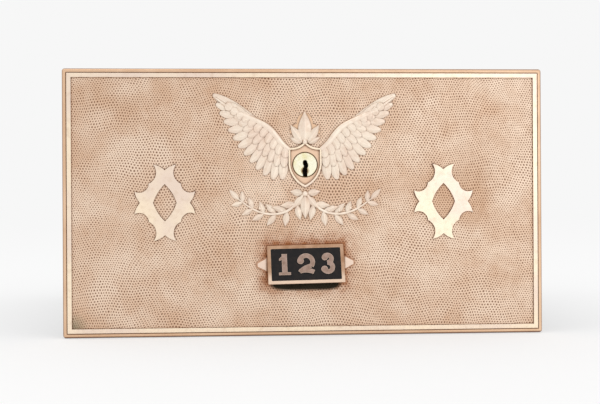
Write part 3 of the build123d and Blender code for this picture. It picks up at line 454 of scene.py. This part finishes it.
def tarnished_brass():
    """The lock's own brass, machined and left to tarnish in the dark: golden brown, dull, with painted shade
    in its corners."""
    material, tree, shader, place = new_finish("tarnished_machined_brass")
    colour = laid_over(tree, linear("#C4A062"), patches(tree, place, 7 * mm, 0.38, 0.66), "#94723E")
    colour = laid_over(tree, colour, patches(tree, place, 2 * mm, 0.58, 0.72, detail=7), "#5F4526", 0.6)
    colour = laid_over(tree, colour, worn_edges(tree, 0.3 * mm), "#E2C58C", 0.6)
    # painted shade in the corners
    colour = laid_over(tree, colour, corners(tree, 1.4 * mm, 0.88, 0.45), "#3E2A14", 0.85)
    roughness = between(tree, patches(tree, place, 3 * mm, 0.3, 0.7), 0.28, 0.46)
    along = (1.0, 0.12, 1.0)
    scratches = add_node(tree, "ShaderNodeVectorMath", {0: place, 1: along}, operation="MULTIPLY")["Vector"]
    cut = patches(tree, scratches, 0.5 * mm, 0.3, 0.7, detail=3)
    tree.links.new(colour, shader.inputs["Base Color"])
    tree.links.new(roughness, shader.inputs["Roughness"])
    tree.links.new(fine_relief(tree, cut, 0.012 * mm, 0.2 * mm), shader.inputs["Normal"])
    return material


def japanned_steel():
    """Sheet steel under baked black varnish: soft gloss with a slow ripple, brown dust, bare steel where it
    has rubbed and along its edges."""
    material, tree, shader, place = new_finish("japanned_sheet_steel")
    edges = both(tree, worn_edges(tree, 0.7 * mm), patches(tree, place, 9 * mm, 0.4, 0.56, detail=6))
    rubbed = both(tree, patches(tree, place, 30 * mm, 0.62, 0.67, detail=9, roughness=0.7), 0.75)
    bare = add_node(tree, "ShaderNodeMath", {0: edges, 1: rubbed}, operation="MAXIMUM")["Value"]
    varnish = laid_over(tree, linear("#1A191C"), patches(tree, place, 40 * mm, 0.35, 0.7), "#2B2622")
    varnish = laid_over(tree, varnish, patches(tree, place, 12 * mm, 0.55, 0.75, detail=8), "#4A4038", 0.35)
    steel = laid_over(tree, linear("#8C8781"), patches(tree, place, 4 * mm, 0.4, 0.65), "#6B4A32")
    colour = add_node(tree, "ShaderNodeMix", {"Factor": bare, 6: varnish, 7: steel}, data_type="RGBA")[2]
    roughness = between(tree, patches(tree, place, 14 * mm, 0.3, 0.7, detail=6), 0.26, 0.5)
    ripple = patches(tree, place, 6 * mm, 0.2, 0.8, detail=3)
    tree.links.new(colour, shader.inputs["Base Color"])
    tree.links.new(bare, shader.inputs["Metallic"])
    tree.links.new(roughness, shader.inputs["Roughness"])
    tree.links.new(fine_relief(tree, ripple, 0.05 * mm, 0.4 * mm), shader.inputs["Normal"])
    return material


def rolled_steel(name, pale, deep, grain, rust):
    """Cold-rolled steel: grey with fine lines along the rolling, clouded, and freckled with rust."""
    material, tree, shader, place = new_finish(name)
    along = add_node(tree, "ShaderNodeVectorMath", {0: place, 1: grain}, operation="MULTIPLY")["Vector"]
    lines = patches(tree, along, 1.4 * mm, 0.3, 0.7, detail=5)
    colour = laid_over(tree, linear(pale), patches(tree, place, 30 * mm, 0.35, 0.68), deep)
    colour = laid_over(tree, colour, lines, "#6E6B67", 0.3)
    freckles = patches(tree, place, 5 * mm, 0.64, 0.71, detail=8, roughness=0.75)
    colour = laid_over(tree, colour, freckles, "#7A4A2A", rust)
    colour = laid_over(tree, colour, worn_edges(tree, 0.3 * mm), "#D8D6D2", 0.5)
    # painted shade in corners and joints
    colour = laid_over(tree, colour, corners(tree, 2 * mm, 0.9, 0.45), "#35281E", 0.65)
    roughness = between(tree, lines, 0.3, 0.5)
    tree.links.new(colour, shader.inputs["Base Color"])
    tree.links.new(roughness, shader.inputs["Roughness"])
    tree.links.new(fine_relief(tree, lines, 0.01 * mm, 0.25 * mm), shader.inputs["Normal"])
    return material


ground_finish = pebbled_bronze()
relief_finish = chased_bronze()
slot_finishes = {
    "cast_bronze": polished_bronze(),
    "number_plate": enamelled_plate(),
    "plug_brass": turned_brass(),
    "lock_brass": tarnished_brass(),
    "japanned_steel": japanned_steel(),
    "tinned_steel": rolled_steel("tinned_sheet_steel", "#BDBBB6", "#93908B", (1.0, 0.05, 1.0), 0.75),
    "screw_steel": rolled_steel("oil_blackened_steel", "#6C6864", "#45413E", (1.0, 0.3, 1.0), 0.5),
    "bolt_steel": rolled_steel("ground_bar_steel", "#C6C4C0", "#9C9994", (0.1, 1.0, 1.0), 0.35),
}
node_finishes = {"pull_hood": handled_bronze()}
for part in frame["record"]["subparts"]:
    cad = nodes[part["node"]]
    cad.data.materials.clear()
    cad.data.materials.append(node_finishes.get(part["node"], slot_finishes[part["material_slot"]]))

# --- Pebbled ground ---------------------------------------------------------------------------------------
pit_pitch = 1.5 * mm                     # middle to middle
pit_land = 0.24 * mm                     # from a pit's edge halfway to the next pit
pit_depth = 0.25 * mm
ground_height = 0.3 * mm                 # lands in front of the field
sunk = 0.05 * mm                         # the ground's back, behind the field
under_rim = 0.8 * mm                     # how far the ground runs in under the rim
round_plug = 1.6 * mm                    # bare field round the plug's head
relief_height = 0.35 * mm                # what stands higher than this hides the ground


def honeycomb(half_width, half_height, pitch):
    """A flat sheet of six-sided cells facing the front, larger than the half sizes given."""
    row_rise = pitch * math.sqrt(3) / 2
    columns, row_pairs = math.ceil(2 * half_width / pitch) + 1, math.ceil(half_height / row_rise) + 1
    bpy.ops.mesh.primitive_circle_add(vertices=6, radius=pitch / math.sqrt(3), fill_type="NGON",
                                      rotation=(math.pi / 2, 0, 0))
    sheet = bpy.context.active_object
    apply_place(sheet)
    apply_modifier(sheet, "ARRAY", count=columns, use_relative_offset=False, use_constant_offset=True,
                   constant_offset_displace=(pitch, 0, 0))
    upper = copy_of(sheet)
    upper.location = (pitch / 2, 0, row_rise)
    apply_place(upper)
    sheet = join([sheet, upper], "pebbled_ground")
    apply_modifier(sheet, "ARRAY", count=row_pairs, use_relative_offset=False, use_constant_offset=True,
                   constant_offset_displace=(0, 0, 2 * row_rise))
    sheet.location = (-columns * pitch / 2, field_y - ground_height, -row_pairs * row_rise)
    apply_place(sheet)
    edit(sheet)
    bpy.ops.mesh.select_all(action="SELECT")
    bpy.ops.mesh.remove_doubles(threshold=pitch / 50)
    leave_edit()
    return sheet


def punch(sheet):
    """Closes a sheet of cells at the back and sinks a pit into each."""
    front_y = field_y - ground_height
    edit(sheet, "FACE")
    bpy.ops.mesh.select_all(action="SELECT")
    bpy.ops.mesh.extrude_region_move(TRANSFORM_OT_translate={"value": (0, ground_height + sunk, 0)})
    bpy.ops.mesh.select_all(action="SELECT")
    bpy.ops.mesh.normals_make_consistent(inside=False)

    def cell(face):
        return len(face.verts) == 6 and face.calc_center_median().y < front_y + 0.01 * mm

    pick(sheet, "faces", cell)
    bpy.ops.mesh.inset(thickness=pit_land, use_boundary=True, use_individual=True)
    pick(sheet, "faces", cell)
    bpy.ops.mesh.poke(offset=-pit_depth)
    leave_edit()
    face_outwards(sheet)
    shade_smooth(sheet, 50)
    finish_piece(sheet, ground_finish)


def pebbled_ground():
    """Three sheets of punched pits whose rows wander as hand punching does. They meet along their lands, run
    in under the rim, and are left out where the relief covers them."""
    slack = 14 * mm
    sheet = honeycomb(field_half_width + slack, field_half_height + slack, pit_pitch)
    for axis, lump, sway in (("X", 55, 12), ("Z", 45, 12), ("X", 9, 1.7), ("Z", 8, 1.7)):
        cloud = bpy.data.textures.new(f"wander_{axis}_{lump}", "CLOUDS")
        cloud.noise_scale = lump * mm
        cloud.noise_depth = 1
        apply_modifier(sheet, "DISPLACE", texture=cloud, texture_coords="LOCAL", direction=axis,
                       strength=sway * mm, mid_level=0.5)
    edit(sheet)
    bpy.ops.mesh.select_all(action="SELECT")
    bpy.ops.transform.vertex_random(offset=0.3 * mm, uniform=0.3, seed=5)
    bpy.ops.transform.resize(value=(1, 0, 1), center_override=(0, field_y - ground_height, 0))
    front = nodes["front_casting"]
    towards_wall = Vector((0, 1, 0))

    def unseen(cell):
        middle = cell.calc_center_median()
        past_rim = max(abs(middle.x) - field_half_width, abs(middle.z) - field_half_height)
        by_plug = math.hypot(middle.x, middle.z - lock_axis.z) < plug_head_radius + round_plug
        hit, spot, _, _ = front.ray_cast(Vector((middle.x, -1, middle.z)), towards_wall)
        under_relief = past_rim < -0.5 * mm and hit and spot.y < field_y - relief_height
        return past_rim > under_rim or by_plug or under_relief

    bpy.ops.mesh.select_mode(type="FACE")
    pick(sheet, "faces", unseen)
    bpy.ops.mesh.delete(type="FACE")
    for limit in (field_half_width / 3, -field_half_width / 3):
        pick(sheet, "faces", lambda cell: cell.calc_center_median().x > limit)
        bpy.ops.mesh.separate(type="SELECTED")
    leave_edit()
    pieces = sorted(bpy.context.selected_objects, key=lambda piece: piece.data.vertices[0].co.x)
    for piece, part in zip(pieces, ("left", "middle", "right")):
        piece.name = "pebbled_ground_" + part
        piece.data.name = "pebbled_ground_" + part
        punch(piece)


# --- Feathers and leaves ----------------------------------------------------------------------------------
def blade(name, shares, crown, thickness):
    """A feather or a leaf, a unit long and a unit wide, lying along +Y from the origin with its face up.
    Shares are its widths from root to tip; crown is how far its midrib stands above its edges. Its vane map
    goes across and along it."""
    rows = len(shares) - 1
    bpy.ops.mesh.primitive_cube_add(size=1, location=(0, 0.5, 0))
    piece = bpy.context.active_object
    piece.name = name
    piece.scale = (1, 1, thickness)
    apply_place(piece)
    edit(piece, "EDGE")
    pick(piece, "edges", lambda edge: abs(edge.verts[0].co.y - edge.verts[1].co.y) > 0.5)
    bpy.ops.mesh.subdivide(number_cuts=rows - 1)
    pick(piece, "edges", lambda edge: abs(edge.verts[0].co.x - edge.verts[1].co.x) > 0.5)
    bpy.ops.mesh.subdivide(number_cuts=3)
    bpy.ops.mesh.select_mode(type="VERT")
    for row, share in enumerate(shares):
        along = row / rows
        pick(piece, "verts", lambda vert: abs(vert.co.y - along) < 0.01)
        bpy.ops.transform.resize(value=(share, 1, 1), center_override=(0, along, 0))
    pick(piece, "verts", lambda vert: vert.co.z > 0 and abs(vert.co.x) < 0.02)
    bpy.ops.transform.translate(value=(0, 0, crown))
    leave_edit()
    apply_modifier(piece, "SUBSURF", levels=1, render_levels=1)
    shade_smooth(piece)
    mesh = piece.data
    while mesh.uv_layers:
        mesh.uv_layers.remove(mesh.uv_layers[0])
    vane = mesh.uv_layers.new(name="vane")
    for loop in mesh.loops:
        vane.data[loop.index].uv = mesh.vertices[loop.vertex_index].co.xy
    return piece


def lay(pattern, root, tip, width, height, rise=0.0, lift=1.0, roll=0.0):
    """A copy of a blade on the front, from root to tip, both measured from the lock's axis in millimetres.
    Height is how far its root stands in front of the field, rise how much further its tip does, and roll
    turns one edge of it down under its neighbour."""
    start, reach = Vector(root), Vector(tip) - Vector(root)
    piece = copy_of(pattern)
    for corner in piece.data.uv_layers["vane"].data:
        corner.uv = (corner.uv.x * width, corner.uv.y * reach.length)
    turn = Matrix.Rotation(math.atan2(reach.y, reach.x) - math.pi / 2, 4, "Z")
    pitch = Matrix.Rotation(math.atan2(rise, reach.length), 4, "X")
    tilt = Matrix.Rotation(math.radians(roll), 4, "Y")
    size = Matrix.Diagonal((width * mm, reach.length * mm, lift * mm, 1))
    stand = Matrix.Rotation(math.pi / 2, 4, "X")
    place = Matrix.Translation((start.x * mm, field_y - height * mm, lock_axis.z + start.y * mm))
    piece.matrix_world = place @ stand @ turn @ pitch @ tilt @ size
    apply_place(piece)
    return piece


def rod_on_front(name, points, radii, flatness, height):
    """A rod of changing radius along a smooth line on the front, flattened towards the field. Points and
    radii are in millimetres, the points measured from the lock's axis."""
    curve = bpy.data.curves.new(name, "CURVE")
    curve.dimensions = "3D"
    curve.bevel_depth = 1.0 * mm
    curve.bevel_resolution = 3
    curve.use_fill_caps = True
    spline = curve.splines.new("NURBS")
    spline.points.add(len(points) - 1)
    for point, (x, z), radius in zip(spline.points, points, radii):
        point.co = (x * mm, 0, z * mm, 1)
        point.radius = radius
    spline.order_u = 3
    spline.use_endpoint_u = True
    spline.resolution_u = 6
    rod = bpy.data.objects.new(name, curve)
    bpy.context.scene.collection.objects.link(rod)
    work_on(rod)
    bpy.ops.object.convert(target="MESH")
    rod = bpy.context.active_object
    rod.scale = (1, flatness, 1)
    rod.location = (0, field_y - height * mm, lock_axis.z)
    apply_place(rod)
    face_outwards(rod)
    shade_smooth(rod)
    return rod


def berry(x, z, radius, height):
    bpy.ops.mesh.primitive_uv_sphere_add(segments=16, ring_count=10, radius=radius * mm)
    piece = bpy.context.active_object
    piece.scale = (1, 0.7, 1)
    piece.location = (x * mm, field_y - height * mm, lock_axis.z + z * mm)
    apply_place(piece)
    shade_smooth(piece)
    return piece


def point_along(line, share):
    """The point at a share of the length of a line given by its corners."""
    points = [Vector(point) for point in line]
    runs = [(end - start).length for start, end in zip(points, points[1:])]
    left = share * sum(runs)
    for start, end, run in zip(points, points[1:], runs):
        if left <= run:
            return start.lerp(end, left / run)
        left -= run
    return points[-1]


# A right wing's bone and the line of its feathers' tips, in millimetres from the lock's axis
bone_line = [(9.0, 8.6), (12.9, 11.4), (16.4, 16.2), (20.8, 21.4), (28, 25.2), (37, 28.9), (45, 33.4),
             (50.6, 38.0)]
tip_line = [(13.0, -8.8), (19.5, -8.8), (26.8, -4.2), (33, 3.2), (38.8, 10.8), (43.4, 18.6), (47.2, 26.4),
            (50.4, 33.4), (52.3, 40.0)]


def fan(feather, count, last_root, reach, width, height):
    """One tier of a wing: its feathers start along the bone and end on the tip line, or reach that share of
    the way to it. Each turns one edge down under its neighbour."""
    feathers = []
    for place in range(count):
        share = place / (count - 1)
        root = point_along(bone_line, 0.04 + (last_root - 0.04) * share)
        tip = root.lerp(point_along(tip_line, share), reach)
        feathers.append(lay(feather, root, tip, width, height, rise=0.15, roll=4.5))
    return feathers


def wings(feather):
    bone = rod_on_front("wing_bone", bone_line, [1.3, 1.8, 2.0, 1.9, 1.6, 1.3, 0.9, 0.4], 0.55, 0.95)
    vane = bone.data.uv_layers.new(name="vane")
    for corner in vane.data:
        corner.uv = (0, 0)
    feathers = fan(feather, 13, 0.5, 1.0, 6.4, 0.45)
    feathers += fan(feather, 12, 0.58, 0.62, 5.6, 0.85)
    feathers += fan(feather, 11, 0.78, 0.33, 5.2, 1.15)
    right = join(feathers + [bone], "wing_right")
    return [right, other_side(right, "wing_left")]


def palmette(leaf):
    """The crest: a tall leaf between two pairs of smaller ones, tied by a bead."""
    leaves = [lay(leaf, (0, 12.0), (0, 30.5), 8.4, 0.6, rise=0.2, lift=1.7)]
    for side in (-1, 1):
        leaves.append(lay(leaf, (side * 1.2, 12.0), (side * 8.4, 22.8), 5.2, 0.5, rise=0.2, lift=1.4))
        leaves.append(lay(leaf, (side * 1.8, 11.8), (side * 9.0, 15.6), 3.4, 0.5, rise=0.1, lift=1.2))
    return join(leaves + [berry(0, 12.8, 1.4, 1.1)], "palmette_crest")


def leaf_sprays(leaf):
    stem_line = [(1.0, -17.0), (5.5, -23.5), (13, -28.0), (23, -28.2), (32, -24.2), (38.5, -19.0)]
    stem = rod_on_front("spray_stem", stem_line, [1.05, 1.0, 0.9, 0.8, 0.65, 0.4], 0.8, 0.35)
    pieces = [stem]
    count = 6
    for place in range(count):
        share = (place + 1) / (count + 0.6)
        root = point_along(stem_line, share)
        onward = (point_along(stem_line, share + 0.03) - root).normalized()
        outward = Vector((-onward.y, onward.x))
        long, wide = 9.6 - 0.45 * place, 4.4 - 0.22 * place
        for side, sweep in ((-1, 0.95), (1, 0.8)):
            tip = root + (onward * 0.75 + outward * side * sweep).normalized() * long
            pieces.append(lay(leaf, root, tip, wide, 0.3, rise=0.3, lift=1.2))
        if place:
            nut = point_along(stem_line, share - 0.075) + outward * 1.9
            pieces.append(berry(nut.x, nut.y, 0.85, 0.55))
    pieces.append(lay(leaf, (37.2, -20.2), (43.6, -13.6), 3.4, 0.3, rise=0.2, lift=1.1))
    right = join(pieces, "leaf_spray_right")
    return [right, other_side(right, "leaf_spray_left")]


def pendant(leaf):
    """The drop below the shield's point, where the two sprays are tied."""
    leaves = [lay(leaf, (0, -17.0), (0, -31.0), 6.2, 0.45, rise=0.1, lift=1.6)]
    for side in (-1, 1):
        leaves.append(lay(leaf, (side * 0.8, -16.5), (side * 9.0, -15.2), 4.4, 0.4, rise=0.1, lift=1.3))
        leaves.append(lay(leaf, (side * 0.8, -17.5), (side * 7.4, -25.0), 4.4, 0.4, rise=0.1, lift=1.4))
    return join(leaves + [berry(0, -16.6, 1.7, 0.8)], "leaf_pendant")


def emblem():
    feather = blade("feather", (0.5, 0.74, 0.9, 1.0, 0.96, 0.78, 0.28), crown=0.16, thickness=0.5)
    leaf = blade("leaf", (0.16, 0.62, 0.95, 1.0, 0.78, 0.42, 0.08), crown=0.5, thickness=0.5)
    pieces = wings(feather) + [palmette(leaf)] + leaf_sprays(leaf) + [pendant(leaf)]
    for pattern in (feather, leaf):
        bpy.data.objects.remove(pattern)
    for piece in pieces:
        finish_piece(piece, relief_finish)


pebbled_ground()
emblem()

# --- Stage, light and camera ------------------------------------------------------------------------------
studio_white = 0.93                      # what the far floor and the studio's walls both send back


def stage_floor():
    """Matt, and half its white is its own glow, so that it meets the studio's walls without a line."""
    bpy.ops.mesh.primitive_circle_add(vertices=64, radius=12.0, fill_type="NGON",
                                      location=(0, 0, front_low.z - 0.3 * mm))
    floor = bpy.context.active_object
    floor.name = "floor"
    paint, _, shader, _ = new_finish("matt_white_paint", metallic=0.0)
    shader.inputs["Base Color"].default_value = (0.5, 0.5, 0.5, 1)
    shader.inputs["Roughness"].default_value = 1.0
    shader.inputs["Specular IOR Level"].default_value = 0.0
    shader.inputs["Emission Color"].default_value = (1, 1, 1, 1)
    shader.inputs["Emission Strength"].default_value = studio_white / 2
    floor.data.materials.append(paint)


def softbox(name, place, width, height, power):
    lamp = bpy.data.lights.new(name, "AREA")
    lamp.shape = "RECTANGLE"
    lamp.size, lamp.size_y = width, height
    lamp.energy = power
    light = bpy.data.objects.new(name, lamp)
    bpy.context.scene.collection.objects.link(light)
    light.location = place
    light.rotation_euler = (-Vector(place)).to_track_quat("-Z", "Y").to_euler()


def camera_at(place, yaw, roll, field_of_view):
    lens = bpy.data.cameras.new("camera")
    lens.sensor_width = 36
    lens.lens = lens.sensor_width / 2 / math.tan(math.radians(field_of_view / 2))
    camera = bpy.data.objects.new("camera", lens)
    bpy.context.scene.collection.objects.link(camera)
    bpy.context.scene.camera = camera
    camera.location = place
    turn = Matrix.Rotation(math.radians(-yaw), 3, "Z") @ Matrix.Rotation(math.pi / 2, 3, "X")
    camera.rotation_euler = (turn @ Matrix.Rotation(math.radians(-roll), 3, "Z")).to_euler()


stage_floor()
world = bpy.data.worlds.new("pale_studio")
world.use_nodes = True
world.node_tree.nodes["Background"].inputs["Color"].default_value = (1, 1, 1, 1)
world.node_tree.nodes["Background"].inputs["Strength"].default_value = studio_white
bpy.context.scene.world = world
bpy.context.scene.view_settings.view_transform = "Standard"
softbox("right_window", (0.72, -1.5, 0.1), 1.0, 1.2, 2.2)
softbox("overhead", (-0.2, -0.5, 1.6), 1.2, 1.0, 3.0)
camera_at((-0.0437, rim_y - 0.6342, 0), yaw=3.67, roll=0.32, field_of_view=30)
